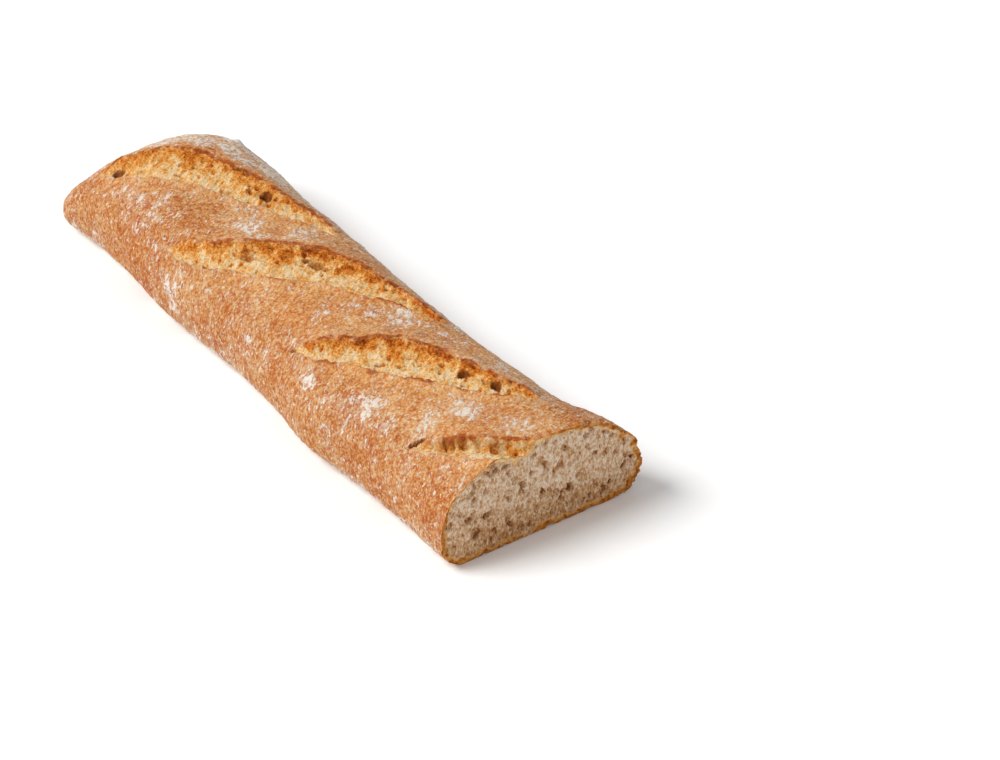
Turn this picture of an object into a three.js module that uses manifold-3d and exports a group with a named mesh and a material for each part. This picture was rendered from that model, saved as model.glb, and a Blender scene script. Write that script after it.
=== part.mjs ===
// A long ciabatta loaf, slashed four times across its top and cut open at one end.
// Millimetres, +Z up, resting on z = 0. +X runs along the loaf towards the cut face, and -Y is its front side.
// The loaf was baked in one piece, so it is one solid: a capsule of dough, flat where it lay on the oven floor,
// opened by the slashes and cut square by a knife.
import * as THREE from "three";
import { mergeVertices } from "three/addons/utils/BufferGeometryUtils.js";
import Module from "manifold-3d";

const wasm = await Module();
wasm.setup();

// ---------------------------------------------------------------- driving dimensions
const CUT_X = 173; // the plane of the knife cut
const NOSE_X = -166; // the tip of the rounded end
const NOSE_LENGTH = 46; // how much of the length the rounded end takes
const NOSE_SKEW = 11; // how much further the rounded end reaches at the front side than on the middle line
const NOSE_DROOP = 13; // how much lower the rounded end's shoulder is at the front side than on the middle line
const NOSE_SAG = 7; // how much the waist sinks towards the tip of the rounded end
const OVERRUN = 15; // how far the dough runs on past the knife before it is cut off
const CROWN_Y = 2.6; // the line along which the top is highest
const WAIST_Z = 14; // the height at which the loaf is widest
const UNDER_DEPTH = 19; // how far the underside would reach below the waist, had the oven floor not stopped it

// Stations along the loaf: x, the front side's y, the back side's y, and the height of the top.
const STATIONS = [
  { x: -180, front: -53.0, back: 44.0, top: 46.5 },
  { x: -142, front: -53.2, back: 44.5, top: 47.5 },
  { x: -107, front: -52.0, back: 44.6, top: 48.0 },
  { x: -72, front: -53.2, back: 42.6, top: 47.5 },
  { x: -7, front: -52.0, back: 41.2, top: 46.5 },
  { x: 38, front: -52.6, back: 40.2, top: 46.5 },
  { x: 72, front: -57.0, back: 39.2, top: 46.5 },
  { x: 103, front: -53.2, back: 42.5, top: 47.0 },
  { x: 143, front: -52.2, back: 45.0, top: 48.5 },
  { x: 163, front: -52.4, back: 53.4, top: 50.0 },
  { x: 193, front: -52.4, back: 58.5, top: 51.0 },
  { x: 248, front: -52.4, back: 58.5, top: 51.0 },
];

// How square each outline is: 2 is an ellipse, and more is boxier.
const FRONT_SQUARENESS = 2.6;
const BACK_SQUARENESS = 2.1;
const UNDER_SQUARENESS = 2.6;
const NOSE_PLAN_SQUARENESS = 7;
const NOSE_SIDE_SQUARENESS = 2.6;

// The slashes, each along a curve of three points seen from above, with its width and depth in the middle.
const SLASHES = [
  { start: [-144, -36], middle: [-87, -2], end: [-18, 25], width: 26, depth: 5 },
  { start: [-68, -43], middle: [-14, -14], end: [68, 25], width: 24, depth: 4.5 },
  { start: [38, -40], middle: [87, -9], end: [144, 26], width: 20, depth: 4.5 },
  { start: [134, -40], middle: [173, -13], end: [226, 16], width: 18, depth: 5 },
];

// ---------------------------------------------------------------- the shape of the dough
// A smooth curve through one column of the stations, as a function of x.
function alongLoaf(column) {
  const curve = new THREE.SplineCurve(STATIONS.map((s) => new THREE.Vector2(s.x, s[column])));
  const samples = curve.getPoints(16 * STATIONS.length);
  return (x) => {
    const next = samples.findIndex((p) => p.x >= x);
    const before = samples[next - 1];
    const after = samples[next];
    return THREE.MathUtils.mapLinear(x, before.x, after.x, before.y, after.y);
  };
}
const frontAt = alongLoaf("front");
const backAt = alongLoaf("back");
const topAt = alongLoaf("top");

// The half-width of the loaf on one side of its crown line.
const halfWidthAt = (x, onFront) => (onFront ? CROWN_Y - frontAt(x) : backAt(x) - CROWN_Y);

// One quarter of a superellipse: how high it stands at a share of its half-width, both from 0 to 1.
const arch = (share, squareness) => Math.max(0, 1 - Math.abs(share) ** squareness) ** (1 / squareness);

// The height of the crust above a point of the floor, away from the rounded end.
function crustZ(x, y) {
  const onFront = y < CROWN_Y;
  const share = (y - CROWN_Y) / halfWidthAt(x, onFront);
  return WAIST_Z + (topAt(x) - WAIST_Z) * arch(share, onFront ? FRONT_SQUARENESS : BACK_SQUARENESS);
}

// Moves a vertex of a capsule onto the loaf. The capsule lies along X with caps of radius 1, and its straight part
// runs from -1 to 1.
function toDough(vertex) {
  const alongNose = Math.max(0, -1 - vertex.x);
  const pastEnd = Math.max(0, vertex.x - 1);
  const straight = THREE.MathUtils.clamp(vertex.x, -1, 1);
  const straightX = THREE.MathUtils.mapLinear(straight, -1, 1, NOSE_X + NOSE_LENGTH, CUT_X + OVERRUN);
  const x = straightX - NOSE_LENGTH * alongNose + OVERRUN * pastEnd;
  const endWidth = arch(alongNose, NOSE_PLAN_SQUARENESS) * arch(pastEnd, 2);
  const endHeight = arch(alongNose, NOSE_SIDE_SQUARENESS) * arch(pastEnd, 2);

  const around = Math.atan2(vertex.z, vertex.y);
  const across = Math.cos(around);
  const up = Math.sin(around);
  const overSquareness = across < 0 ? FRONT_SQUARENESS : BACK_SQUARENESS;
  const squareness = up < 0 ? UNDER_SQUARENESS : overSquareness;
  const widthShare = Math.sign(across) * Math.abs(across) ** (2 / squareness) * endWidth;
  const heightShare = Math.sign(up) * Math.abs(up) ** (2 / squareness) * endHeight;
  const skew = NOSE_SKEW * alongNose ** 2 * widthShare;
  const y = CROWN_Y + halfWidthAt(x, across < 0) * widthShare;
  const droop = NOSE_DROOP * alongNose * Math.max(0, -widthShare);
  const waist = WAIST_Z - NOSE_SAG * alongNose ** 2;
  const z = waist + (up < 0 ? UNDER_DEPTH : topAt(x) - droop - waist) * heightShare;
  vertex.set(x + skew, y, z);
}

// Moves a vertex of a sphere of radius 1 onto a slash: its X runs along the cut, Y across it and Z out of the crust.
function toSlash(vertex, slash) {
  const points = [slash.start, slash.middle, slash.end].map(([x, y]) => new THREE.Vector2(x, y));
  const cut = new THREE.SplineCurve(points);
  const along = (vertex.x + 1) / 2;
  const tangent = cut.getTangent(along);
  const sideways = (vertex.y * slash.width) / 2;
  const { x, y } = cut.getPoint(along).add(new THREE.Vector2(-tangent.y, tangent.x).multiplyScalar(sideways));
  vertex.set(x, y, crustZ(x, y) + vertex.z * slash.depth);
}

// ---------------------------------------------------------------- joining and cutting
// A closed geometry as a solid, after move() has placed each of its vertices.
function solid(geometry, move) {
  geometry.deleteAttribute("normal");
  geometry.deleteAttribute("uv");
  const position = geometry.getAttribute("position");
  const vertex = new THREE.Vector3();
  for (let i = 0; i < position.count; i++) {
    move(vertex.fromBufferAttribute(position, i));
    position.setXYZ(i, vertex.x, vertex.y, vertex.z);
  }
  const merged = mergeVertices(geometry, 1e-3);
  const mesh = new wasm.Mesh({
    numProp: 3,
    vertProperties: merged.getAttribute("position").array,
    triVerts: new Uint32Array(merged.index.array),
  });
  return new wasm.Manifold(mesh);
}

function geometryOf(manifold) {
  const mesh = manifold.getMesh();
  const geometry = new THREE.BufferGeometry();
  geometry.setAttribute("position", new THREE.BufferAttribute(mesh.vertProperties, 3));
  geometry.setIndex(new THREE.BufferAttribute(mesh.triVerts, 1));
  geometry.computeVertexNormals();
  return geometry;
}

// ---------------------------------------------------------------- the loaf
const capsule = new THREE.CapsuleGeometry(1, 2, 8, 52, 40).rotateZ(-Math.PI / 2);
let bread = solid(capsule, toDough);
for (const slash of SLASHES) {
  const lens = new THREE.SphereGeometry(1, 12, 18).rotateZ(-Math.PI / 2);
  bread = bread.subtract(solid(lens, (vertex) => toSlash(vertex, slash)));
}

const WIDE = 800; // wider and deeper than the loaf
const halfWide = WIDE / 2;
const ovenFloor = new THREE.BoxGeometry(WIDE, WIDE, WIDE).translate(0, 0, -halfWide);
const pastTheKnife = new THREE.BoxGeometry(WIDE, WIDE, WIDE).translate(CUT_X + halfWide, 0, 0);
for (const removed of [ovenFloor, pastTheKnife]) {
  bread = bread.subtract(solid(removed, (vertex) => vertex));
}

// The origin goes on the floor under the middle of the loaf's own box.
const geometry = geometryOf(bread);
geometry.computeBoundingBox();
const middle = geometry.boundingBox.getCenter(new THREE.Vector3());
geometry.translate(-middle.x, -middle.y, 0);

const crust = new THREE.MeshStandardMaterial({ name: "crust", color: 0xc07a3c, roughness: 0.8, metalness: 0 });
const loaf = new THREE.Mesh(geometry, crust);
loaf.name = "loaf";

const ciabatta = new THREE.Group();
ciabatta.add(loaf);
export default ciabatta;
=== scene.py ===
# %% [markdown]
# # A cut loaf of ciabatta
#
# The loaf is one baked thing: a long, low bar of dough that was slashed four times, baked on an oven floor,
# and later cut square with a bread knife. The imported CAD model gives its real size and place, as one plain
# solid. Here that solid gets its looks. The plan is a baker's: shape the dough, open the slashes, blister
# the crust, cut the end off to show the crumb, and only then colour it.

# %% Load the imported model
import math

import bmesh
import bpy
import numpy as np
from mathutils import Matrix, Vector, kdtree, noise


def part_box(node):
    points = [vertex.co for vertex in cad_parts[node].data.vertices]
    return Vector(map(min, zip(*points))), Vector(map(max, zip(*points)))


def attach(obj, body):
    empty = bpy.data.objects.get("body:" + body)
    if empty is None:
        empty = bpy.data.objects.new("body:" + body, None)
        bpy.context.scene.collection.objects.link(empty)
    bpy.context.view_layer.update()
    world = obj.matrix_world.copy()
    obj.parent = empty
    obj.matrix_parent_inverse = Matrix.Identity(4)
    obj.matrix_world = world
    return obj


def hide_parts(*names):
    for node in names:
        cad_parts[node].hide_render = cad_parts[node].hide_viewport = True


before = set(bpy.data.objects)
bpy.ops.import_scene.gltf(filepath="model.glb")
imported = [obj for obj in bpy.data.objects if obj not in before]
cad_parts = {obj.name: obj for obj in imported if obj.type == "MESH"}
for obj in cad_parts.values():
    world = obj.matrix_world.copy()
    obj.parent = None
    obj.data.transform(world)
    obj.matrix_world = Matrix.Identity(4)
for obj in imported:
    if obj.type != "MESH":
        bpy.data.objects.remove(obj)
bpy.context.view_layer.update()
low, high = [Vector(corner) * 1000 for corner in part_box("loaf")]
print("CAD loaf, mm:", [round(side) for side in high - low])

# %% [markdown]
# ## Units and small helpers
#
# The shaping is worked out in millimetres, because a slash 4 mm deep is easier to read than one of 0.004 m.
# The mesh is scaled down to metres at the end. Points are kept in numpy arrays, so one line moves every
# vertex at once.

# %% Helpers for numbers
MM = 0.001  # one millimetre, in Blender's metres


def smoothstep(start, end, value):
    """0 before start, 1 after end, and a soft rise between them."""
    share = np.clip((value - start) / (end - start), 0, 1)
    return share * share * (3 - 2 * share)


def bump(middle, reach, value):
    """1 at the middle, and next to nothing two reaches away from it."""
    return np.exp(-(((value - middle) / reach) ** 2))


def smooth_curve(points):
    """A curve through points of x and y, as a function of x."""
    knots = np.array([points[0], *points, points[-1]], float)
    t = np.linspace(0, 1, 16, endpoint=False)[:, None]
    spans = []
    for before, first, second, after in zip(knots, knots[1:], knots[2:], knots[3:]):
        bend = 2 * before - 5 * first + 4 * second - after
        twist = -before + 3 * first - 3 * second + after
        spans.append(first + 0.5 * ((second - before) * t + bend * t**2 + twist * t**3))
    samples = np.concatenate([*spans, knots[-1:]])
    return lambda x: np.interp(x, samples[:, 0], samples[:, 1])


def cloud(points, size, octaves=1):
    """Soft noise from about -1 to 1, with lumps as wide as size, and finer ones for each further octave. A
    number added to the points gives another pattern of the same kind."""
    return np.array([noise.fractal(p, 1.0, 2.0, octaves) for p in (points / size).tolist()])


def cells(points, size):
    """How far each point is from the nearest of some scattered centres, 0 to about 1, and a number from 0 to
    1 that belongs to that centre."""
    nearest = [noise.voronoi(p) for p in (points / size).tolist()]
    distance = np.array([found[0][0] for found in nearest])
    centre = np.array([found[1][0] for found in nearest])
    return distance, np.modf(np.abs(centre.sum(axis=1)) * 7.31)[0]


# %% [markdown]
# ## Helpers for meshes
#
# A modifier such as Remesh or Boolean does in one step what would take pages of code. `applied` adds one,
# takes its result as the new mesh and drops the modifier, so the piece is left with plain faces.
# `points_of` and `set_points` copy all vertices out of a mesh and back.

# %% Helpers for meshes
def new_object(name, bm):
    mesh = bpy.data.meshes.new(name)
    bm.to_mesh(mesh)
    bm.free()
    piece = bpy.data.objects.new(name, mesh)
    bpy.context.scene.collection.objects.link(piece)
    return piece


def applied(piece, kind, **settings):
    modifier = piece.modifiers.new(kind, kind)
    for setting, value in settings.items():
        setattr(modifier, setting, value)
    depsgraph = bpy.context.evaluated_depsgraph_get()
    result = bpy.data.meshes.new_from_object(piece.evaluated_get(depsgraph))
    piece.modifiers.clear()
    piece.data = result
    print(kind, "->", len(result.vertices), "vertices,", len(result.polygons), "faces")


def points_of(mesh, field="co"):
    values = np.empty(len(mesh.vertices) * 3)
    mesh.vertices.foreach_get(field, values)
    return values.reshape(-1, 3)


def set_points(mesh, points):
    mesh.vertices.foreach_set("co", points.ravel())
    mesh.update()


def paint(mesh, name, values):
    """Stores one number per vertex under a name that a material can read."""
    layer = mesh.attributes.get(name) or mesh.attributes.new(name, "FLOAT", "POINT")
    layer.data.foreach_set("value", np.ascontiguousarray(values, np.float32))


# %% [markdown]
# ## The bar of dough
#
# A baker stretches ciabatta dough into a bar with soft sides, and it slumps until its underside is flat.
# Its width and height wander a little, because it is shaped by hand. The bar could be a subdivided box, but
# a sphere has no corners to hide: its vertices are moved along the loaf, and each ring becomes one
# cross-section. The stations are those of the CAD solid, but for the front side near the rounded end, where
# the baked loaf bellies differently.

# %% The dough's dimensions, in millimetres
CUT_X = high.x  # the plane of the knife cut
NOSE_X = -166.0  # the tip of the rounded end, on the crown line
NOSE_LENGTH = 46.0
NOSE_SKEW = 11.0  # how much further the rounded end reaches at the front side
NOSE_DROOP = 13.0  # how much lower its shoulder is there
NOSE_SAG = 7.0  # how much the waist sinks towards the tip
OVERRUN = 15.0  # how far the dough runs on past the knife
CROWN_Y = 2.6
WAIST_Z = 14.0
UNDER_DEPTH = 19.0

# x, the front side's y, the back side's y, the height of the top
STATIONS = [
    (-180, -56.5, 44.0, 46.5),
    (-142, -51.0, 44.5, 47.5),
    (-107, -51.0, 44.6, 48.0),
    (-72, -53.2, 42.6, 47.5),
    (-7, -52.0, 41.2, 46.5),
    (38, -52.6, 40.2, 46.5),
    (72, -57.0, 39.2, 46.5),
    (103, -53.2, 42.5, 47.0),
    (143, -52.2, 45.0, 48.5),
    (163, -52.4, 53.4, 50.0),
    (193, -52.4, 58.5, 51.0),
    (248, -52.4, 58.5, 51.0),
]
front_at = smooth_curve([(x, front) for x, front, back, top in STATIONS])
back_at = smooth_curve([(x, back) for x, front, back, top in STATIONS])
top_at = smooth_curve([(x, top) for x, front, back, top in STATIONS])

# How square each outline is: 2 is an ellipse, and more is boxier.
FRONT_SQUARENESS = 2.6
BACK_SQUARENESS = 2.1
UNDER_SQUARENESS = 2.6
NOSE_PLAN_SQUARENESS = 7.0
NOSE_SIDE_SQUARENESS = 2.6
print("stations", len(STATIONS))

# %% [markdown]
# ## The dough's shape
#
# Seen from its end, slumped dough is rounder than a box and squarer than an ellipse. A superellipse is the
# curve between the two, and one number says how square it is. The same curve closes the rounded end. Every
# vertex of a sphere is sent to its place: its ring says how far along the loaf it goes, and its angle says
# where round it.

# %% The dough's shape
def arch(share, squareness):
    """How high a superellipse stands at a share of its half-width."""
    return np.maximum(0, 1 - np.abs(share) ** squareness) ** (1 / squareness)


NOSE_RINGS = 0.25  # the share of the sphere's rings that goes to the rounded end
END_RINGS = 0.04  # the share that goes to the overrun


def to_dough(sphere):
    """Moves the points of a sphere of radius 1, whose poles lie on X, onto the bar of dough."""
    ring = np.arccos(np.clip(-sphere[:, 0], -1, 1)) / math.pi
    along_nose = np.sin(np.clip(1 - ring / NOSE_RINGS, 0, 1) * math.pi / 2) ** 0.6
    past_end = np.clip((ring - 1 + END_RINGS) / END_RINGS, 0, 1)
    straight = np.clip((ring - NOSE_RINGS) / (1 - NOSE_RINGS - END_RINGS), 0, 1)
    x = NOSE_X + NOSE_LENGTH + straight * (CUT_X + OVERRUN - NOSE_X - NOSE_LENGTH)
    x = x - NOSE_LENGTH * along_nose
    end_width = arch(along_nose, NOSE_PLAN_SQUARENESS) * arch(past_end, 2)
    end_height = arch(along_nose, NOSE_SIDE_SQUARENESS) * arch(past_end, 2)

    around = np.arctan2(sphere[:, 2], sphere[:, 1])
    across, up = np.cos(around), np.sin(around)
    over_squareness = np.where(across < 0, FRONT_SQUARENESS, BACK_SQUARENESS)
    squareness = np.where(up < 0, UNDER_SQUARENESS, over_squareness)
    width_share = np.sign(across) * np.abs(across) ** (2 / squareness) * end_width
    height_share = np.sign(up) * np.abs(up) ** (2 / squareness) * end_height
    half_width = np.where(across < 0, CROWN_Y - front_at(x), back_at(x) - CROWN_Y)
    droop = NOSE_DROOP * along_nose * np.maximum(0, -width_share)
    waist = WAIST_Z - NOSE_SAG * along_nose**2
    half_height = np.where(up < 0, UNDER_DEPTH, top_at(x) - droop - waist)

    moved_x = x + NOSE_SKEW * along_nose**2 * width_share
    y = CROWN_Y + half_width * width_share
    z = waist + half_height * height_share
    return np.column_stack([moved_x, y, np.maximum(z, 0)])


bm = bmesh.new()
bmesh.ops.create_uvsphere(bm, u_segments=220, v_segments=260, radius=1)
bmesh.ops.rotate(bm, verts=bm.verts, matrix=Matrix.Rotation(math.pi / 2, 3, "Y"))
loaf = new_object("ciabatta_loaf", bm)
set_points(loaf.data, to_dough(points_of(loaf.data)))
print("dough", len(loaf.data.vertices), "vertices")

# %% [markdown]
# ## An even skin
#
# The rings of the sphere are crowded at its poles and stretched elsewhere. Sculpting needs vertices that
# are evenly spaced, so a voxel remesh lays a new skin over the same shape, fine enough to hold a blister.

# %% An even skin
SKIN_PITCH = 0.75
SMOOTHING_ROUNDS = 4
applied(loaf, "REMESH", mode="VOXEL", voxel_size=SKIN_PITCH)
bm = bmesh.new()
bm.from_mesh(loaf.data)
for _ in range(SMOOTHING_ROUNDS):
    bmesh.ops.smooth_vert(bm, verts=bm.verts, factor=0.5, use_axis_x=True, use_axis_y=True, use_axis_z=True)
bm.to_mesh(loaf.data)
bm.free()

# %% [markdown]
# ## The slashes
#
# Before baking, a blade is drawn across the dough at a slant. In the oven the loaf springs open there: the
# near lip stays low, torn dough rises between the lips and bakes golden, and the far lip lifts into a
# ragged dark ear. A modelled groove would look like a groove. Here each slash has a near and a far lip, as
# two curves, and every vertex is moved by where it lies between them.

# %% Where the slashes are
# The torn dough between the lips: shares of the way from the near lip to the far one, and the height there
# as a share of the slash's depth below the crust, or of the ear's height above it. A sprung slash rises to
# its ear, and a hollow one stays low until it is under the ear.
SPRUNG = smooth_curve([(0, -0.3), (0.1, -0.8), (0.3, -0.8), (0.6, -0.25), (0.82, 0.35), (0.93, 0.6), (1, 1)])
HOLLOW = smooth_curve(
    [(0, 0), (0.2, -0.15), (0.35, -0.35), (0.52, -0.7), (0.74, -1), (0.84, -0.7), (0.93, -0.2), (1, 0.8)]
)

# Each runs straight from start to end. A lip is given as shares of that length and how far it stands off
# the line, in millimetres, away from the loaf's front side. Softness is how gradually crust turns into torn
# dough at the near lip, lip is how strongly the edge of the crust has browned there, and browned is how
# dark the torn dough gets.
SLASHES = [
    {
        "start": (-152, -36), "end": (-22, 26), "depth": 3.2, "ear": 3.0, "profile": SPRUNG, "softness": 3.0,
        "lip": 0.1, "browned": 0.52,
        "near": [(0, 0), (0.07, -4), (0.14, -6.5), (0.3, -5.5), (0.45, -4.2), (0.62, -6), (0.84, -6),
                 (1, -3)],
        "far": [(0, 0), (0.05, 6), (0.14, 13.5), (0.24, 19.5), (0.32, 21), (0.45, 18.5), (0.57, 16),
                (0.74, 9.6), (0.84, 6.5), (0.93, 2.5), (1, -3)],
    },
    {
        "start": (-69, -45), "end": (68, 26), "depth": 3.0, "ear": 2.8, "profile": SPRUNG, "softness": 1.2,
        "lip": 0.9, "browned": 0.57,
        "near": [(0, 0), (0.05, -4.5), (0.1, -7), (0.15, -9), (0.3, -10.6), (0.45, -9.8), (0.53, -7),
                 (0.62, -5.3), (0.7, -6.6), (0.83, -3), (0.92, -4.6), (1, -3)],
        "far": [(0, 0), (0.08, 1.6), (0.18, 2.6), (0.26, 8), (0.34, 12.5), (0.45, 16.2), (0.53, 17.4),
                (0.64, 16), (0.76, 12), (0.85, 7), (0.93, 3), (1, -3)],
    },
    {
        "start": (38, -42), "end": (142, 27), "depth": 2.8, "ear": 2.8, "profile": SPRUNG, "softness": 1.2,
        "lip": 0.8, "browned": 0.56,
        "near": [(0, 0), (0.05, -3), (0.14, -8), (0.31, -11), (0.47, -13.5), (0.62, -14.2), (0.79, -15.5),
                 (0.86, -14.3), (0.93, -11.5), (1, -7)],
        "far": [(0, 0), (0.12, 1.6), (0.19, 3), (0.26, 6), (0.33, 9), (0.42, 10.6), (0.52, 9.6), (0.58, 8.6),
                (0.66, 5.2), (0.75, 1.8), (0.83, -2.6), (0.93, -4), (1, -7)],
    },
    {
        "start": (132, -40), "end": (224, 18), "depth": 4.4, "ear": 1.5, "profile": HOLLOW, "softness": 1.4,
        "lip": 0.4, "browned": 0.12,
        "near": [(0, 0), (0.06, -4.4), (0.15, -5.8), (0.24, -7.4), (0.45, -8), (0.8, -8), (1, 0)],
        "far": [(0, 0), (0.05, -0.2), (0.13, 0.8), (0.21, 2.6), (0.29, 4.4), (0.37, 6), (0.45, 8.4),
                (0.5, 11.5), (0.54, 15), (0.62, 17), (0.8, 10), (1, 0)],
    },
]
print("slashes", len(SLASHES))

# %% [markdown]
# ## Places in a slash
#
# Shape, browning and flour all depend on where a point lies in a slash. The line from its start to its end
# gives a share of the length, and the two lip curves say how far inside each lip the point is. Both lips
# are curves over the same line, so no search for the nearest point is needed.

# %% Places in a slash
def slash_place(slash, points):
    """For each point: its share of the slash's length, how far it lies inside the near and the far lip, how
    wide the slash is open there, and the direction across it. Outside a lip the distance is negative."""
    start, end = np.array(slash["start"], float), np.array(slash["end"], float)
    length = np.linalg.norm(end - start)
    forward = (end - start) / length
    across = np.array([-forward[1], forward[0]])
    from_start = points[:, :2] - start
    share = from_start @ forward / length
    offset = from_start @ across
    beyond = np.maximum(np.maximum(-share, share - 1), 0) * length
    near = smooth_curve(slash["near"])(share)
    far = smooth_curve(slash["far"])(share)
    return share, offset - near - beyond, far - offset - beyond, np.maximum(far - near, 0), across


# %% [markdown]
# ## Noise for torn dough
#
# Torn dough isn't lumpy all over alike. The lips wander, the floor has lumps and specks, strands are pulled
# across the slash, and pinholes lie scattered in it. Each of these is a noise of its own size. The strands
# are a ridged noise, stretched across the slash, because a strand is long and thin.

# %% Noise for torn dough
GRAIN_ANGLE = math.radians(29)  # the way the slashes run, so that torn strands lie across it


def torn_grain(points, size):
    """Noise like strands of dough that were pulled across a slash, from 0 in a furrow to 1 on a ridge."""
    along = points[:, 0] * math.cos(GRAIN_ANGLE) + points[:, 1] * math.sin(GRAIN_ANGLE)
    across = points[:, 1] * math.cos(GRAIN_ANGLE) - points[:, 0] * math.sin(GRAIN_ANGLE)
    stretched = np.column_stack([along, across / 2.4, points[:, 2] / 1.5])
    return 1 - np.minimum(1, 2.2 * np.abs(cloud(stretched, size, 3)))


base = points_of(loaf.data)
near_rag = 1.7 * cloud(base, 9.0) + 1.3 * cloud(base + 50, 3.0, 2)
far_rag = 1.6 * cloud(base + 90, 7.0) + 1.2 * cloud(base + 130, 2.6, 2)
torn_lumps = cloud(base + 170, 6.0, 4)
torn_specks = cloud(base + 230, 2.2, 2)
strands = torn_grain(base, 2.8)
rough = 0.9 * torn_lumps + 0.5 * (strands - 0.6)
broken = smoothstep(-0.25, 0.35, cloud(base + 250, 12.0))
scorched = 0.55 + 0.75 * smoothstep(-0.3, 0.5, cloud(base + 270, 9.0, 2))
hollow_places = cloud(base + 210, 8.0)
pit_distance, pit_kind = cells(base * [1, 1, 0.5], 3.6)
print("noise for", len(base), "points")

# %% [markdown]
# ## The floor of a slash
#
# Between the lips the torn dough follows the slash's profile, from the near lip to the far one. To that are
# added its lumps and strands, pinholes, and deeper hollows just under the ear, where the dough pulled away.
# A profile is a curve, so the shape of a slash can be changed without touching the sums.

# %% The floor of a slash
def torn_floor(slash, t, inside, inside_far, open_share):
    """How high the torn dough stands, and how strongly each point is a pinhole or a hollow under the ear.
    t is the share of the way from the near lip to the far one."""
    floor = slash["profile"](t)
    ear = slash["ear"] * open_share
    floor = np.where(floor < 0, floor * slash["depth"] * open_share, floor * ear)
    pits = smoothstep(0.38, 0.2, pit_distance) * (pit_kind > 0.55) * smoothstep(1, 3, inside)
    hollows = bump(2.0, 1.3, inside_far) * smoothstep(0.15, 0.5, hollow_places) * open_share
    floor = floor + open_share * rough * smoothstep(-0.5, 2.0, inside)
    return floor - 1.3 * pits - 1.6 * hollows, pits, hollows


# %% [markdown]
# ## The lips of a slash
#
# The near lip is a low swelling. Behind the far lip the crust ramps up to the ear over 15 mm, and the ear
# leans out over the slash. That lean is a shift towards the near lip, so its edge can really overhang.

# %% The lips of a slash
EAR_RAMP = 15  # how far behind the ear the crust starts to rise to it


def slash_lips(slash, share, inside_near, inside_far, open_share):
    """How high the crust stands beside the slash, and how far the ear leans out over it."""
    near_lip = 0.4 * bump(0, 1.8, inside_near + 1.2) * open_share
    behind_ear = 1 - smoothstep(0, EAR_RAMP, -inside_far)
    behind_ear = slash["ear"] * open_share * behind_ear * smoothstep(-3, 3, inside_near)
    overhang = 1.0 * bump(-0.2, 1.2, inside_far) * open_share * smoothstep(0.1, 0.3, share)
    return near_lip + behind_ear * (share > -0.05), overhang


# %% [markdown]
# ## How a slash bakes, and its painted shade
#
# The part that opened first has baked longest. So the torn dough is palest at the near lip and browner
# towards the ear, and pinholes, hollows and furrows are darkened as painted shade. The edges of the crust
# itself scorch along both lips, the ear most of all, in broken lines.

# %% How a slash bakes, and its painted shade
def torn_browning_and_shade(slash, t, pits, hollows):
    """How dark the torn dough has baked, with painted shade in its pits, hollows and furrows."""
    baked_on = t + 0.45 * torn_lumps + 0.35 * hollow_places
    browning = 0.18 + smoothstep(0.35, 1.15, baked_on) * slash["browned"] + 0.1 * (strands - 0.5)
    # Painted shade: pits, hollows and furrows are darkened here, not baked darker.
    return browning + 0.4 * pits + 0.15 * hollows + 0.22 * np.clip(-rough, 0, 1)


def lip_scorching(slash, inside_near, inside_far, open_share):
    """How dark the edges of the crust have scorched, along the near lip and along the ear."""
    near_line = bump(-0.6, 0.9, inside_near) * smoothstep(0.1, 0.4, open_share) * broken
    ear_line = bump(-0.6, 1.2, inside_far) * smoothstep(0.1, 0.5, open_share)
    near_line = near_line * 1.05 * slash["lip"]
    ear_line = ear_line * (scorched + 1.1 * torn_specks)
    return np.maximum(near_line, ear_line) * (inside_near > -4)


# %% [markdown]
# ## Open the slashes
#
# For every slash, each point learns how far it rises or sinks, and how far it leans. The same sums give
# masks from 0 to 1 for the colours: where the dough is torn, how far it has baked together with painted
# shade in its pits, hollows and furrows, where the skin was stretched, and where no flour lies. The sums of
# all slashes are kept, and the mesh is moved later.

# %% Open the slashes
FULLY_OPEN = 10  # the width from which a slash has its full depth and ear

rise = np.zeros(len(base))
lean = np.zeros((len(base), 3))
masks = {name: np.zeros(len(base)) for name in ("torn", "bake", "stretch", "hole")}
masks["clear"] = np.ones(len(base))

for slash in SLASHES:
    share, inside_near, inside_far, opening, across = slash_place(slash, base)
    open_share = smoothstep(0, FULLY_OPEN, opening)
    inside_near = inside_near + near_rag * open_share
    inside_far = inside_far + far_rag * open_share
    inside = np.minimum(inside_near, inside_far)
    t = np.clip(inside_near / np.maximum(inside_near + inside_far, 0.1), 0, 1)
    softness = slash["softness"]
    torn = smoothstep(-0.5 * softness, softness, inside_near) * smoothstep(-0.7, 1.0, inside_far)
    torn = torn * (opening > 0)

    torn_height, pits, hollows = torn_floor(slash, t, inside, inside_far, open_share)
    lips, overhang = slash_lips(slash, share, inside_near, inside_far, open_share)
    rise += np.where(opening > 0, torn * torn_height + (1 - torn) * lips, 0)
    lean[:, :2] -= overhang[:, None] * across

    edge = lip_scorching(slash, inside_near, inside_far, open_share)
    # The browning of the torn dough here includes painted shade in its pits, hollows and furrows.
    baked_and_shaded = np.maximum(torn * torn_browning_and_shade(slash, t, pits, hollows), edge)
    beside = bump(-4, 5, inside_near) * smoothstep(0.1, 0.6, open_share) * (1 - torn)
    masks["torn"] = np.maximum(masks["torn"], torn)
    masks["bake"] = np.maximum(masks["bake"], baked_and_shaded)
    masks["stretch"] = np.maximum(masks["stretch"], beside)
    masks["clear"] = np.minimum(masks["clear"], 1 - smoothstep(-4.0, 0.5, inside) * (opening > 0))
    print("slash", slash["start"], "tears", int((torn > 0.5).sum()), "points")
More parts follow.
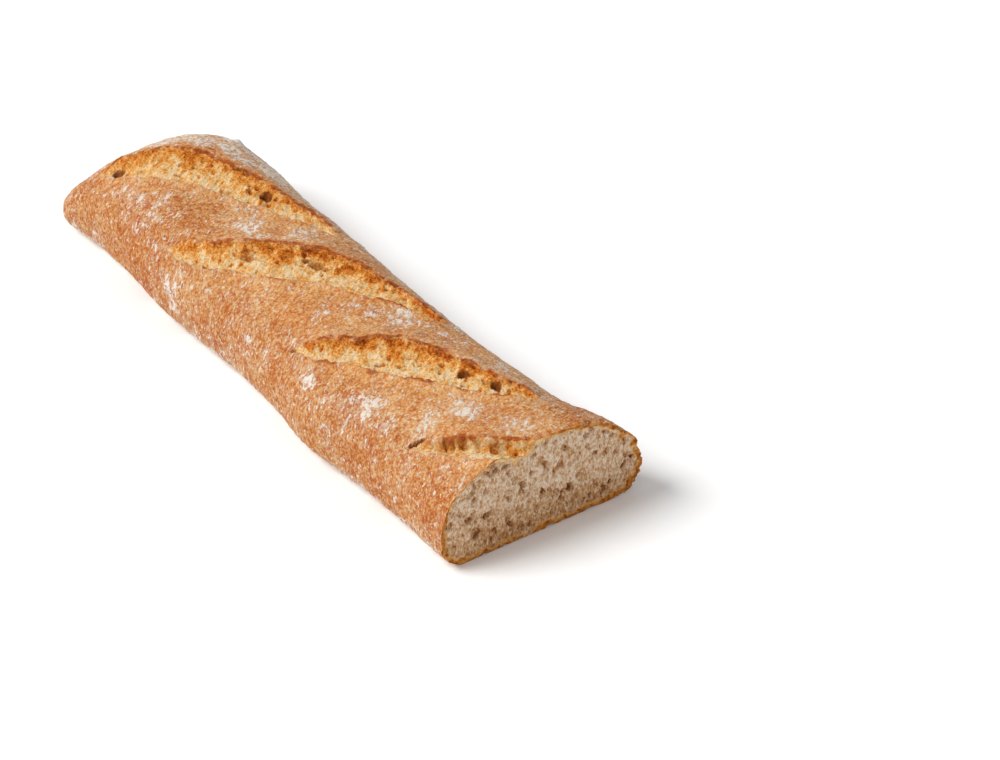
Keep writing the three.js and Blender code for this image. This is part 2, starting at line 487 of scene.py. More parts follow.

# %% [markdown]
# ## The holes torn in the slashes
#
# Where a large bubble lay under the skin, the tearing dough opened it. Such a hole is a ragged oval with
# steep walls. Digging one with a Boolean would leave a clean rim, so it is pressed in as the slashes are,
# by how far each point lies from its middle, with some noise added to that distance. Its colour is darkened
# the deeper it is, as painted shade.

# %% The holes torn in the slashes
# Millimetres: x, y, length, width and depth. Then the way each one points, in degrees.
HOLES = [
    (-141.6, -30, 6.6, 4.0, 3.0, 15),
    (-117, -8.6, 1.8, 1.6, 2.0, 0),
    (-110, -5, 1.6, 1.4, 1.5, 0),
    (-112, -13, 3.4, 1.2, 1.2, 25),
    (-118, 4, 6.0, 3.2, 1.0, 30),
    (-117, 10, 4.0, 1.8, 1.2, 30),
    (-93, 11, 6.0, 2.2, 2.4, 40),
    (-87, 11.5, 3.5, 2.0, 2.2, 30),
    (-84, -2.4, 7.0, 3.4, 1.2, 25),
    (-77, 7, 2.6, 1.6, 1.8, 0),
    (-67.4, 10.5, 6.0, 5.6, 3.8, 30),
    (-29, -23.5, 8.0, 3.0, 1.5, 35),
    (-33, -22.5, 4.0, 1.6, 2.2, 50),
    (-2.5, -2, 7.4, 3.2, 1.7, 30),
    (-8, -4, 3.2, 1.6, 2.2, 40),
    (36, 3, 4.0, 2.6, 1.4, 30),
    (40, -42, 2.4, 1.4, 2.4, 30),
    (78, -21, 3.4, 2.0, 1.4, 30),
    (110.7, 3, 5.2, 4.2, 3.2, 30),
    (116, -1, 2.6, 1.6, 1.6, 20),
    (122, 7, 2.6, 2.0, 1.6, 20),
    (126.5, 9.5, 5.0, 4.0, 3.4, 20),
    (134.5, -38.0, 7.4, 1.7, 3.4, 60),
    (146, -29.5, 5.0, 2.4, 1.8, 30),
    (151, -25.5, 5.0, 2.4, 1.8, 30),
    (163, -17, 5.0, 3.0, 1.6, 20),
]
TOP_ONLY = 20.0  # holes are dug from above only, into what is higher than this

for hole_x, hole_y, length, width, depth, degrees in HOLES:
    turn = math.radians(degrees)
    dx, dy = base[:, 0] - hole_x, base[:, 1] - hole_y
    along = (dx * math.cos(turn) + dy * math.sin(turn)) / (length / 2)
    aside = (dy * math.cos(turn) - dx * math.sin(turn)) / (width / 2)
    ragged = np.hypot(along, aside) + 0.25 * torn_lumps + 0.3 * torn_specks
    on_top = base[:, 2] > TOP_ONLY
    hole = smoothstep(1.15, 0.6, ragged) * on_top
    # Painted shade: the colour of a hole darkens with its depth.
    shaded = smoothstep(1.35, 1.05, ragged) * on_top * min(1, depth / 3.2)
    rise -= depth * hole
    # The bake mask is darkened in the hole as painted shade.
    masks["bake"] = np.maximum(masks["bake"], 0.55 * hole)
    masks["hole"] = np.maximum(masks["hole"], shaded)
    masks["clear"] = np.minimum(masks["clear"], smoothstep(1.1, 1.8, ragged))

# The slashes run out towards the loaf's sides, so what they do fades there.
upper = smoothstep(12, 30, base[:, 2])
rise *= upper
lean *= upper[:, None]
for name in ("torn", "bake", "stretch"):
    masks[name] *= upper
masks["clear"] = 1 - upper * (1 - masks["clear"])
print("holes", len(HOLES), "deepest place, mm", round(float(rise.min()), 1))

# %% [markdown]
# ## The crust
#
# Steam under the skin raises small blisters, the hand-shaping leaves soft lumps and a pinched knob, and the
# oven floor presses the underside flat. Noise of three sizes gives the lumps and wrinkles. The blisters are
# round, so they come from scattered centres instead. Beside the cut the bread knife has chipped the crust.
# The finest grain is left to the material, because it is smaller than the mesh can hold.

# %% Raise the crust
KNOB = (-128.0, 31.0, 41.0)  # a pinch of dough on the back shoulder

outward = points_of(loaf.data, "normal")
x, y, z = base.T
girth = np.column_stack([x + 0.4 * y, y / 1.6, z / 1.6])  # lengthens features round the loaf
on_crust = 1 - masks["torn"]
off_floor = smoothstep(0.2, 5.0, z)
lumps = 0.8 * cloud(base, 42.0) + 0.6 * cloud(base + 30, 17.0, 2) - 0.25
wrinkles = cloud(girth + 60, 5.0, 3)
blister_distance, blister_kind = cells(girth, 2.6)
blisters = smoothstep(0.5, 0.1, blister_distance) * smoothstep(0.2, 1.0, blister_kind)
grain = cloud(girth, 1.7, 2)
fine = 0.26 * wrinkles + 0.34 * blisters + 0.12 * grain
chips = smoothstep(CUT_X - 5, CUT_X, x) * smoothstep(-0.1, 0.6, cloud(base + 500, 4.0, 3))
chip_depth = 0.8 + 0.9 * smoothstep(10, 35, y)
knob = 2.4 * bump(0, 3.0, np.linalg.norm(base - KNOB, axis=1))
height = (lumps + fine * on_crust + knob - chip_depth * chips) * off_floor

moved = base + outward * height[:, None] + lean
moved[:, 2] += rise
print("crust stands proud by up to", round(float(height.max()), 1), "mm")

# %% [markdown]
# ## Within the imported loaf
#
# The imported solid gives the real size, so the finished loaf mustn't stand past it. Cutting off what is too
# high would leave flat spots on the crown. The top is pressed in softly instead, the more the higher it
# stands. The underside rests on the oven floor, and keeps only the faint wrinkles of flour and the chips
# along the cut.

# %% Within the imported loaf
SOFT_FROM = 48.0  # the height from which the top is pressed in

pressed = smoothstep(2.5, 0.0, z) * np.maximum(0, 0.12 + 0.25 * wrinkles + 1.3 * chips)
moved[:, 2] = np.maximum(moved[:, 2], pressed)
room = high.z - SOFT_FROM
over = np.maximum(moved[:, 2] - SOFT_FROM, 0)
moved[:, 2] = np.where(over > 0, SOFT_FROM + room * (1 - np.exp(-over / room)), moved[:, 2])
moved[:, 0] = np.maximum(moved[:, 0], low.x)
moved[:, 1] = np.clip(moved[:, 1], low.y, high.y)
set_points(loaf.data, moved)
print("highest point, mm", round(float(moved[:, 2].max()), 1), "of", round(high.z, 1))

# %% [markdown]
# ## Flour, toasting and painted shade
#
# The dough was turned out on floured cloth. Flour lies thickest on the shoulder behind the first slash,
# along the back and at the foot, with a few dustings elsewhere, and none lies where the dough tore open
# later. It could be a noise alone, but the dustings are what an eye looks for, so they are placed one by one
# and only ragged by noise. The front side is darkened a little as painted shade, a patch of the top is
# toasted a little darker, and the back near the cut is darker too. All of it is stored on the vertices, for
# the material.

# %% Flour, toasting and painted shade
# Where more of it fell from the baker's hand: x, y, how far it spread, and how thickly it lies.
DUSTINGS = [
    (-112, -40, 9, 0.4),
    (-94, -39, 10, 0.4),
    (-51, -52, 6, 0.9),
    (-49, -12, 7, 0.7),
    (-26, 8, 10, 0.7),
    (54, 10, 13, 0.8),
    (84, 17, 8, 0.7),
    (61, -47, 4, 0.6),
    (96, -40, 8, 0.8),
    (115, -41, 4, 0.7),
    (131, -29, 6, 0.8),
    (137, -13, 7, 1.0),
    (160, -2, 12, 0.8),
]
share, _, inside_far, _, _ = slash_place(SLASHES[0], base)
flour = -0.03 + 0.45 * cloud(base + 300, 26.0, 2) + 0.35 * cloud(base + 340, 9.0, 2)
streak = cloud(base * [0.35, 1, 1] + 380, 5.0, 3)
behind_slash = smoothstep(2, 9, -inside_far) * smoothstep(0.95, 0.5, share) * smoothstep(15, 40, z)
along_back = smoothstep(20, 36, y) * smoothstep(12, 30, z) * smoothstep(140, 90, x)
flour += (0.7 + 0.6 * streak) * behind_slash
flour += 0.55 * along_back + 0.7 * smoothstep(14, 5, z)
for dusting_x, dusting_y, spread, thickness in DUSTINGS:
    flour += thickness * bump(0, spread, np.hypot(x - dusting_x, y - dusting_y)) * (z > WAIST_Z)
flour *= masks["clear"]

# The front side is darkened as painted shade, the patch on the top is toasted, and the back near the cut is
# darker too.
toast = np.maximum(smoothstep(-28, -44, y), bump(0, 24, np.hypot(x + 80, y + 26)))
toast = np.maximum(toast, smoothstep(110, 145, x) * smoothstep(8, 26, y))
numbers = {**masks, "flour": flour, "relief": fine, "toast": toast}
for name, values in numbers.items():
    paint(loaf.data, name, values)
print("painted on each vertex:", ", ".join(numbers))

# %% [markdown]
# ## The knife cut
#
# A bread knife opens the loaf and shows its crumb: gas cells from pinholes up to a few millimetres,
# stretched upwards by the oven spring, with thin walls between them, and a thin crust round the outside
# with hardly any. The cut is made as a real one: a block stands where the removed end was, with its near
# face covered in bosses, one for each cell, and the loaf is cut by it. The bosses leave the cells, and the
# loaf keeps one closed skin.

# %% Where the crust ends on the cut
outline = kdtree.KDTree(len(moved))
near_cut = np.flatnonzero(np.abs(moved[:, 0] - CUT_X) < 1.2)
for index in near_cut:
    outline.insert((0, moved[index, 1], moved[index, 2]), int(index))
outline.balance()
print("outline points", len(near_cut))


def crust_distance(points):
    """How far each point of the cut lies from the loaf's outside, and which vertex of it is nearest."""
    found = [outline.find((0, p[1], p[2])) for p in points.tolist()]
    return np.array([hit[2] for hit in found]), np.array([hit[1] for hit in found])


# %% [markdown]
# ## The gas cells
#
# The largest cells each have their place, because they give this cut its own look. The small ones are many
# and all alike, so a seeded generator scatters them, and the loaf comes out the same each time. A cell is
# an oval scoop, taller than wide. Where two meet, the deeper one counts, as when a wall between them has
# burst.

# %% The gas cells
# The largest cells: y, z, width, height, depth and lean in degrees.
LARGE_CELLS = [
    (16, 16, 4.6, 5.0, 3.4, 0),
    (-37, 22, 4.2, 5.0, 2.4, -25),
    (-28, 20, 4.2, 4.6, 2.8, 30),
    (-33, 12, 4.6, 4.2, 2.2, -20),
    (-9, 28, 3.2, 6.4, 2.2, -10),
    (2, 20, 2.8, 5.4, 2.4, 35),
    (-4, 33, 4.0, 2.6, 1.6, 0),
    (-13, 34, 4.6, 2.4, 1.5, 0),
    (-18, 42, 5.0, 2.6, 1.8, 0),
    (-16, 24, 3.0, 4.4, 1.8, 20),
    (-24, 11, 4.0, 2.6, 1.5, 0),
    (46, 16, 3.2, 6.5, 2.2, -12),
    (50, 19, 2.8, 2.8, 2.2, 0),
    (38, 10, 2.4, 3.2, 1.8, 0),
    (41, 25, 2.6, 2.6, 2.0, 0),
    (30, 29, 3.4, 3.0, 1.6, 0),
    (24, 41, 1.8, 2.4, 2.4, 0),
    (11, 32, 3.2, 5.0, 1.6, -20),
    (-3, 42, 4.5, 2.0, 1.6, 10),
    (39, 35, 3.6, 3.0, 1.5, 20),
]
CELL_COUNT = 420
CELL_SEED = 11
random = np.random.default_rng(CELL_SEED)
print("large cells", len(LARGE_CELLS), "small cells", CELL_COUNT)


def scattered_cells():
    """Many small cells, seeded, and every third one larger."""
    found = []
    for number in range(CELL_COUNT):
        y, z = random.uniform(-54, 56), random.uniform(0.5, 50)
        width = random.uniform(1.5, 3.2) if number % 3 == 0 else random.uniform(0.7, 1.7)
        stretch = random.uniform(1.1, 2.3)
        deep = width * random.uniform(0.3, 0.6)
        found.append((y, z, width, width * stretch, deep, random.normal(-8, 28)))
    return found


def torn_walls(flat):
    """Strands of crumb that the blade left standing, stretched upwards: 1 on a strand and 0 between them."""
    return 1 - np.minimum(1, 2.4 * np.abs(cloud(flat * [1, 1, 0.45] + 480, 1.6, 2)))


def crumb_depth(points, from_crust):
    """How deep each point of the cut lies behind the flat of the blade, and how deep its gas cell is."""
    y, z = points[:, 1], points[:, 2]
    flat = np.column_stack([np.zeros(len(y)), y, z])
    wobble = 0.4 * cloud(flat + 400, 2.2, 2)
    depth = 0.3 + 0.25 * cloud(flat + 430, 9.0, 2) + 0.25 * (1 - torn_walls(flat))
    pore_distance, pore_kind = cells(flat * [1, 1, 0.6], 1.5)
    depth += 0.5 * smoothstep(0.6, 0.2, pore_distance) * pore_kind
    deepest = np.zeros(len(y))
    for cell_y, cell_z, width, tall, deep, degrees in LARGE_CELLS + scattered_cells():
        reach = 0.7 * max(width, tall)
        nearby = np.flatnonzero((np.abs(y - cell_y) < reach) & (np.abs(z - cell_z) < reach))
        turn = math.radians(degrees)
        dy, dz = y[nearby] - cell_y, z[nearby] - cell_z
        aside = (dy * math.cos(turn) + dz * math.sin(turn)) / (width / 2)
        along = (dz * math.cos(turn) - dy * math.sin(turn)) / (tall / 2)
        out = np.hypot(aside, along) + wobble[nearby]
        scoop = deep * np.clip(1 - out**3, 0, 1)
        deepest[nearby] = np.maximum(deepest[nearby], scoop)
    depth += deepest
    in_crumb = smoothstep(0.6, 2.2, from_crust)
    skin = 0.12 + 0.12 * cloud(flat + 460, 1.6, 2)
    return np.maximum(in_crumb * depth + (1 - in_crumb) * skin, 0.02), deepest * in_crumb


# %% [markdown]
# ## The block that cuts
#
# The block is a grid that is fine enough to hold a pinhole, stood up across the loaf and pushed in by the
# depth of the crumb at each of its vertices. Extruding the whole grid away from the loaf makes it a closed
# block. It also carries the numbers that the crumb's finish reads, and the Boolean hands them on to the
# loaf.

# %% The block that cuts
KNIFE_PITCH = 0.42
BLOCK_WIDTH, BLOCK_HEIGHT, BLOCK_LENGTH = 128.0, 62.0, 40.0
BLOCK_MIDDLE = Vector((CUT_X, 1.0, 24.0))

bm = bmesh.new()
bmesh.ops.create_grid(
    bm, x_segments=round(BLOCK_WIDTH / KNIFE_PITCH), y_segments=round(BLOCK_HEIGHT / KNIFE_PITCH), size=0.5
)
bmesh.ops.scale(bm, vec=(BLOCK_WIDTH, BLOCK_HEIGHT, 1), verts=bm.verts)
bmesh.ops.rotate(bm, matrix=Matrix(((0, 0, 1), (1, 0, 0), (0, 1, 0))), verts=bm.verts)
bmesh.ops.translate(bm, vec=BLOCK_MIDDLE, verts=bm.verts)
knife = new_object("knife_block", bm)
face = points_of(knife.data)
from_crust, nearest = crust_distance(face)
depth, cell_shade_mask = crumb_depth(face, from_crust)
set_points(knife.data, face - np.column_stack([depth, 0 * depth, 0 * depth]))
thicker = 0.3 * smoothstep(9, 3, face[:, 2])  # the crust is thicker underneath and at both sides
thicker += 0.6 * smoothstep(25, 45, face[:, 1]) + 0.6 * smoothstep(-40, -50, face[:, 1])
paint(knife.data, "rim", from_crust - thicker + 1.8 * cloud(face + 520, 5.0, 4))
# Painted shade: the deeper a gas cell, the darker its colour.
paint(knife.data, "cell", cell_shade_mask)
# Painted shade: the crumb is darker towards the floor.
paint(knife.data, "dense", smoothstep(28, 4, face[:, 2]))
paint(knife.data, "torn", masks["torn"][nearest])

bm = bmesh.new()
bm.from_mesh(knife.data)
grown = bmesh.ops.extrude_face_region(bm, geom=bm.faces[:], use_keep_orig=True)
far_side = [item for item in grown["geom"] if isinstance(item, bmesh.types.BMVert)]
bmesh.ops.translate(bm, vec=(BLOCK_LENGTH, 0, 0), verts=far_side)
bmesh.ops.recalc_face_normals(bm, faces=bm.faces[:])
bm.to_mesh(knife.data)
bm.free()
print("block", len(knife.data.polygons), "faces")

# %% [markdown]
# ## Cut the loaf
#
# The Boolean takes the block away from the loaf. Manifold is the fastest of its solvers and always leaves a
# closed skin, given two closed shapes. Transfer gives each new face the material of the piece it came from,
# so the crumb has its own finish up to the very edge of the cut.

# %% Cut the loaf
crust_material = bpy.data.materials.new("baked_crust")
crumb_material = bpy.data.materials.new("open_crumb")
loaf.data.materials.append(crust_material)
knife.data.materials.append(crumb_material)
applied(loaf, "BOOLEAN", operation="DIFFERENCE", object=knife, solver="MANIFOLD", material_mode="TRANSFER")
bpy.data.objects.remove(knife)

# %% [markdown]
# ## A lighter mesh
#
# The skin is as fine under the loaf, where it is flat, as in the slashes. Decimate merges faces where that
# changes the shape least, so the fine mesh is kept where there is something to see.

# %% A lighter mesh
MOST_TRIANGLES = 190_000
triangles = sum(len(face.vertices) - 2 for face in loaf.data.polygons)
applied(loaf, "DECIMATE", ratio=min(1, MOST_TRIANGLES / triangles), use_collapse_triangulate=True)

bm = bmesh.new()
bm.from_mesh(loaf.data)
for face in bm.faces:
    face.smooth = True
for edge in bm.edges:
    kinds = {face.material_index for face in edge.link_faces}
    edge.smooth = len(kinds) == 1
for vert in bm.verts:
    vert.co.z = max(vert.co.z, 0)  # nothing dips below the underside
bmesh.ops.scale(bm, vec=(MM, MM, MM), verts=bm.verts)
open_edges = sum(not edge.is_manifold for edge in bm.edges)
bm.to_mesh(loaf.data)
bm.free()
print("triangles", len(loaf.data.polygons), "open edges", open_edges)

# %% [markdown]
# ## Writing a finish
#
# A material is a small sum: how much flour, how brown, how rough. `Value` wraps a node's output so that
# such a sum is written with + and * as on paper, and each step adds its Math node. `Finish` makes every
# other node.

# %% Helpers for materials
SHINE = 0.12  # baked dough and flour are dry, and hardly mirror the room


class Value:
    """One output of a finish's nodes, which can be added to, taken from and multiplied as a number can."""

    def __init__(self, finish, socket):
        self.finish = finish
        self.socket = socket

    def maths(self, operation, first, second):
        return self.finish.node("ShaderNodeMath", {"operation": operation}, {0: first, 1: second})

    def __add__(self, other):
        return self.maths("ADD", self, other)

    def __sub__(self, other):
        return self.maths("SUBTRACT", self, other)

    def __rsub__(self, other):
        return self.maths("SUBTRACT", other, self)

    def __mul__(self, other):
        return self.maths("MULTIPLY", self, other)

    __radd__ = __add__
    __rmul__ = __mul__


class Finish:
    """The nodes of one material."""

    def __init__(self, material, roughness, scatter, scatter_radius):
        material.use_nodes = True
        self.nodes = material.node_tree.nodes
        self.links = material.node_tree.links
        self.nodes.clear()
        self.shader = self.nodes.new("ShaderNodeBsdfPrincipled")
        output = self.nodes.new("ShaderNodeOutputMaterial")
        self.links.new(self.shader.outputs[0], output.inputs["Surface"])
        self.shader.inputs["Roughness"].default_value = roughness
        self.shader.inputs["Subsurface Weight"].default_value = scatter
        self.shader.inputs["Subsurface Radius"].default_value = scatter_radius
        self.shader.inputs["Subsurface Scale"].default_value = 1.0
        self.shader.inputs["Specular IOR Level"].default_value = SHINE
        self.place = self.node("ShaderNodeTexCoord", output="Object")

    def node(self, kind, settings=None, inputs=None, output=0):
        """Adds a node: first its settings, then the values or links of its sockets."""
        node = self.nodes.new(kind)
        for setting, value in (settings or {}).items():
            if setting == "stops":
                self.set_stops(node.color_ramp, value)
            else:
                setattr(node, setting, value)
        for name, value in (inputs or {}).items():
            if isinstance(value, Value):
                self.links.new(value.socket, node.inputs[name])
            else:
                node.inputs[name].default_value = value
        return Value(self, node.outputs[output])

    def set_stops(self, ramp, stops):
        while len(ramp.elements) < len(stops):
            ramp.elements.new(0.5)
        for element, (position, colour) in zip(ramp.elements, stops):
            element.position = position
            element.color = colour

    def painted(self, name):
        return self.node("ShaderNodeAttribute", {"attribute_name": name}, output="Fac")

    def stretched(self, angle, stretch):
        """The place on the loaf, for a pattern turned about Z and stretched by a factor along each axis."""
        inputs = {"Vector": self.place, "Rotation": (0, 0, angle), "Scale": stretch}
        return self.node("ShaderNodeMapping", {"vector_type": "TEXTURE"}, inputs)

    def speckle(self, size, detail=3.0, roughness=0.55, place=None):
        """Noise from 0 to 1 whose lumps are about size millimetres wide."""
        inputs = {"Vector": place or self.place, "Scale": 0.5 / (size * MM)}
        inputs.update({"Detail": detail, "Roughness": roughness})
        return self.node("ShaderNodeTexNoise", {"normalize": True}, inputs)

    def domes(self, size, place=None):
        """Round domes about size millimetres wide: 1 at each top, and 0 between them."""
        inputs = {"Vector": place or self.place, "Scale": 1 / (size * MM)}
        distance = self.node("ShaderNodeTexVoronoi", {"feature": "F1"}, inputs)
        return self.between(distance, 0.62, 0.08)

    def between(self, value, start, end):
        """0 before start, 1 after end, and a soft rise between them."""
        inputs = {"Value": value, "From Min": start, "From Max": end}
        return self.node("ShaderNodeMapRange", {"interpolation_type": "SMOOTHSTEP"}, inputs)

    def ramp(self, value, stops):
        return self.node("ShaderNodeValToRGB", {"stops": stops}, {"Fac": value})

    def mix(self, share, first, second, blend="MIX"):
        settings = {"data_type": "RGBA", "clamp_factor": True, "blend_type": blend}
        return self.node("ShaderNodeMix", settings, {0: share, 6: first, 7: second}, output=2)

    def wear(self, colour, roughness, height, height_mm):
        """Puts a colour, a roughness and a height in millimetres on the shader."""
        self.links.new(colour.socket, self.shader.inputs["Base Color"])
        self.links.new(roughness.socket, self.shader.inputs["Roughness"])
        inputs = {"Height": height, "Distance": height_mm * MM, "Strength": 1.0}
        bumped = self.node("ShaderNodeBump", inputs=inputs)
        self.links.new(bumped.socket, self.shader.inputs["Normal"])


def colour(red, green, blue):
    """A paint colour, as it looks on a screen from 0 to 255, made the linear colour that Blender mixes."""
    shares = [channel / 255 for channel in (red, green, blue)]
    return (*[s / 12.92 if s <= 0.04045 else ((s + 0.055) / 1.055) ** 2.4 for s in shares], 1.0)


# %% [markdown]
# ## The crust's skin
#
# The skin is a ruddy brown, mottled at every size from a thumb's breadth down to a grain. It is paler where
# a blister stretched it and where the dough spread beside a slash, and redder where the oven toasted it. Its
# front side is darkened a little as painted shade. Nearly all of that is a change of colour and hardly one
# of brightness. So a ramp of near hues is read by a sum of noises and of the relief that was painted on the
# mesh, which makes raised blisters paler and creases darker: partly the crust's own colour, partly painted
# highlight and shade. Multiplying by a faint tint toasts it and gives the front side its painted shade.

# %% The crust's skin
crust = Finish(crust_material, roughness=0.7, scatter=0.04, scatter_radius=(0.002, 0.001, 0.0005))
round_loaf = crust.stretched(math.radians(24), (1.0, 1.3, 1.3))
across_slash = crust.stretched(GRAIN_ANGLE, (1.0, 1.6, 1.2))
broad = crust.speckle(14, 2.0)
fleck = crust.speckle(1.1, 3.0, 0.6, round_loaf)
grit = crust.speckle(0.45, 2.0, 0.6, round_loaf)
bubble = crust.domes(1.7, round_loaf)
# Painted shade on the front side, toasting on the patch of the top, and darker crust at the back near the
# cut.
toast = crust.painted("toast")
# Blister tops are made paler here: partly their thinner crust, partly painted highlight.
tone = fleck * 1.2 + grit * 1.3 + broad * 0.6 + bubble * 0.16
tone = tone + toast * (fleck * 0.5 + grit * 0.5 - 0.48)
ruddy = crust.ramp(
    # The relief makes raised places paler and creases darker: partly the crust's own colour, partly painted
    # highlight and shade.
    tone + crust.painted("relief") * 0.2 - 1.08,
    [
        (0.05, colour(170, 84, 28)),
        (0.28, colour(187, 111, 53)),
        (0.5, colour(198, 138, 83)),
        (0.7, colour(211, 165, 114)),
        (0.95, colour(222, 194, 159)),
    ],
)
blister = crust.painted("stretch") * (bubble + fleck * 0.8 - 0.4)
stretched_skin = crust.mix(blister * 0.8, ruddy, colour(222, 168, 96))
# The multiply darkens the front side as painted shade, and the other darker patches too.
skin = crust.mix(toast, stretched_skin, colour(233, 219, 204), "MULTIPLY")

# %% [markdown]
# ## The torn dough
#
# In the slashes the dough tore late and baked less: pale at the near lip, golden in the middle, and nearly
# burnt along the ear. One number, how far it has baked together with the painted shade of its pits, hollows
# and furrows, was painted on the mesh. Noises of three sizes are added to it here, and a ramp from pale to
# burnt turns the sum into a colour, so that all its browns follow one another as in an oven. The holes are
# darkened further as painted shade, and the edges of the crust are scorched.

# %% The torn dough
torn_lump = crust.speckle(2.4, 3.0, 0.6, across_slash)
torn_fleck = crust.speckle(1.1, 4.0, 0.6, across_slash)
torn_grit = crust.speckle(0.5, 2.0, 0.6)
# The painted number holds browning and scorching, and painted shade in pits, hollows, furrows and holes.
bake = crust.painted("bake") + torn_lump * 0.8 + torn_fleck * 1.1 + torn_grit * 1.3 - 1.63
gold = crust.ramp(
    bake,
    [
        (0.0, colour(221, 198, 162)),
        (0.2, colour(217, 178, 120)),
        (0.42, colour(210, 144, 64)),
        (0.66, colour(190, 104, 20)),
        (0.85, colour(160, 76, 8)),
        (1.0, colour(118, 50, 8)),
    ],
)
singed = crust.between(crust.painted("bake") + fleck * 1.3 + grit * 0.8 - 1.05, 0.2, 0.75)
scorch_tone = fleck * 0.8 + grit * 0.6 - 0.2
scorch = crust.ramp(scorch_tone, [(0.35, colour(112, 42, 4)), (0.65, colour(186, 92, 24))])
lipped = crust.mix(singed * 0.92, skin, scorch)
# Painted shade: the holes are coloured darker the deeper they are.
hole_shade = crust.painted("hole") * (0.6 + torn_fleck * 0.7)
baked_and_shaded = crust.mix(hole_shade, crust.mix(crust.painted("torn"), lipped, gold), colour(122, 58, 6))

# %% [markdown]
# ## The flour
#
# Flour isn't a film: it lies in crisp flakes, in single dots, and in a thin veil where it was rubbed in.
# Each is a noise with its own threshold. The flakes grow where more flour fell, because the cover is added
# before the threshold is taken. None of it sticks to torn dough, and the scorched edges burnt it off.

# %% The flour
WHITE_FLOUR = colour(222, 210, 196)
flake = crust.speckle(1.05, 4.0, 0.65, crust.stretched(math.radians(24), (1.0, 1.7, 1.7)))
patch = crust.speckle(4.0, 3.0, 0.6)
cover = crust.between(crust.painted("flour") + patch * 2.2 - 1.1, -0.3, 1.5)
flaked = crust.between(flake + cover * 0.2, 0.61, 0.67)
dots = crust.between(crust.speckle(0.8, 1.5, 0.5, round_loaf) + cover * 0.12, 0.665, 0.7)
thin = crust.between(grit + fleck * 0.7, 0.5, 1.1)
powder = (flaked * 0.8 + cover * 0.28 + dots * 0.7) * (0.6 + thin * 0.5)
bare = (1 - crust.painted("torn")) * (1 - singed * 0.8)
floury = powder * bare * (1 - crust.between(crust.painted("hole"), 0.0, 0.3))
dusted = crust.mix(floury, baked_and_shaded, WHITE_FLOUR)
relief = fleck * 0.35 + bubble * 0.3 + flaked * 0.25 + grit * 0.3
torn_relief = crust.painted("torn") * (torn_fleck * 0.6 + torn_grit * 0.25)
crust.wear(dusted, roughness=0.6 + floury * 0.3, height=relief + torn_relief, height_mm=0.6)
print("crust", len(crust.nodes), "nodes")

# %% [markdown]
# ## The crumb's finish
#
# Crumb is pale and lets a little light in, so its shadows are warm. Its finest pores are smaller than the
# mesh can hold, so they are noise, stretched upwards as the oven spring stretched them. The cells are
# darkened the deeper they are, as painted shade, and the crumb is darkened towards the floor, also as
# painted shade. Along the outside the crumb turns into a golden, then brown, ragged ring of crust.

# %% The crumb's finish
crumb = Finish(crumb_material, roughness=0.65, scatter=0.1, scatter_radius=(0.0015, 0.001, 0.0007))
upwards = crumb.stretched(0, (1.0, 1.0, 1.8))
pore = crumb.speckle(0.7, 3.0, 0.65, upwards)
fluff = crumb.speckle(0.4, 2.0, 0.6, upwards)
bubble = crumb.domes(1.5, upwards)
mottle = crumb.speckle(6, 2.0)
from_wall = crumb.speckle(1.5, 3.0, 0.6, upwards) - 0.5
wall = crumb.node("ShaderNodeMath", {"operation": "ABSOLUTE"}, {0: from_wall})
# Painted shade: each gas cell is darker the deeper it is.
cell = crumb.between(crumb.painted("cell"), 0.1, 2.0)
# Painted shade: the crumb is darkened towards the floor.
dense = crumb.painted("dense")
fine_crumb = pore * 0.9 + fluff * 1.2 + mottle * 0.3 - bubble * 0.1
pale = crumb.ramp(
    fine_crumb - wall * 1.5 - cell * 0.4 - dense * 0.25 - 0.42,
    [
        (0.05, colour(138, 80, 38)),
        (0.28, colour(180, 128, 80)),
        (0.5, colour(205, 163, 122)),
        (0.7, colour(226, 195, 162)),
        (0.95, colour(240, 224, 206)),
    ],
)
bran = crumb.between(crumb.speckle(1.4, 0.0), 0.74, 0.8)
speckled = crumb.mix(bran * 0.5, pale, colour(196, 132, 60))
rag = crumb.speckle(1.6, 4.0, 0.6)
side = crumb.speckle(16, 0.0)
rim = crumb.painted("rim") + rag * 4.0 + crumb.speckle(4.0, 3.0) * 3.4 - side * 1.6 - 2.9
valley = crumb.painted("torn")
ringed = crumb.mix(1 - crumb.between(rim, 0.8, 2.6), speckled, colour(228, 166, 86))
crusty = crumb.ramp(rag, [(0.35, colour(138, 66, 12)), (0.65, colour(220, 146, 62))])
brown = crumb.mix(valley, crusty, colour(238, 208, 146))
edged = crumb.mix(1 - crumb.between(rim, 0.3, 1.5), ringed, brown)
crumb.wear(edged, roughness=0.6 + pore * 0.1, height=pore + fluff * 0.6, height_mm=0.6)
print("crumb", len(crumb.nodes), "nodes")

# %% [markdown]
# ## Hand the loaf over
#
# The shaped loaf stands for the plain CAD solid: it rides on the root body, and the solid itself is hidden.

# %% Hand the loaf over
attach(loaf, "root")
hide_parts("loaf")
print("handed over", loaf.name)

# %% [markdown]
# ## The table
#
# The loaf lies on a matt white table. A plain square is enough, when it reaches far past what the lens
# sees.

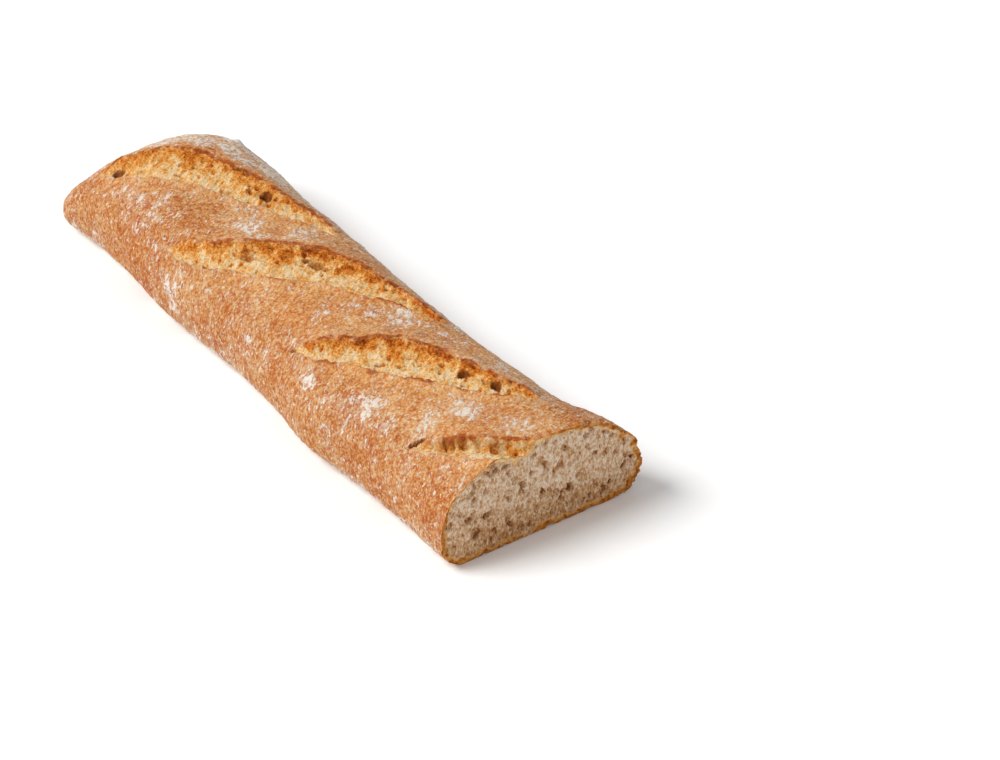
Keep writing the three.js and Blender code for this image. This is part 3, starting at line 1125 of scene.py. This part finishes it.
# %% The table
bm = bmesh.new()
bmesh.ops.create_grid(bm, x_segments=1, y_segments=1, size=3.0)
floor = new_object("table", bm)
white = bpy.data.materials.new("white_table")
table_finish = Finish(white, roughness=0.9, scatter=0.0, scatter_radius=(0, 0, 0))
table_finish.shader.inputs["Base Color"].default_value = colour(254, 254, 254)
floor.data.materials.append(white)
print("table", [round(side, 1) for side in floor.dimensions])

# %% [markdown]
# ## The light
#
# A large window at the front left gives soft-edged shadows, and the white room fills them. A sun lamp with
# a wide angle is the window: its light is even along the whole loaf. The room is the world's plain white.

# %% The light
ROOM_LIGHT = 0.47
WINDOW_LIGHT = 2.75
WINDOW_WIDTH = 30  # how wide the window looks from the loaf, in degrees
TOWARDS_WINDOW = Vector((-0.42, -0.75, 0.9))

scene = bpy.context.scene
world = bpy.data.worlds.new("studio")
world.use_nodes = True
world.node_tree.nodes["Background"].inputs["Color"].default_value = (1, 1, 1, 1)
world.node_tree.nodes["Background"].inputs["Strength"].default_value = ROOM_LIGHT
scene.world = world
scene.view_settings.view_transform = "Standard"

sun = bpy.data.lights.new("window", "SUN")
sun.energy = WINDOW_LIGHT
sun.angle = math.radians(WINDOW_WIDTH)
window = bpy.data.objects.new("window", sun)
window.rotation_euler = TOWARDS_WINDOW.to_track_quat("Z", "Y").to_euler()
scene.collection.objects.link(window)
print("window light", sun.energy, "room light", ROOM_LIGHT)

# %% [markdown]
# ## The camera
#
# The camera looks down the loaf from its cut end. It stands well back with a long lens, so that the loaf's
# sides stay nearly parallel.

# %% The camera
AIM = Vector((0.0692, 0.0519, 0.0))  # the point of the table that the lens points at
AZIMUTH = math.radians(54.8)
ELEVATION = math.radians(35.0)
DISTANCE = 1.427

flat = math.cos(ELEVATION)
back = Vector((math.sin(AZIMUTH) * flat, -math.cos(AZIMUTH) * flat, math.sin(ELEVATION)))
lens = bpy.data.cameras.new("camera")
lens.lens = 110.0
lens.sensor_width = 36.0
camera = bpy.data.objects.new("camera", lens)
camera.location = AIM + back * DISTANCE
camera.rotation_euler = back.to_track_quat("Z", "Y").to_euler()
scene.collection.objects.link(camera)
scene.camera = camera
print("camera at", [round(side, 2) for side in camera.location])
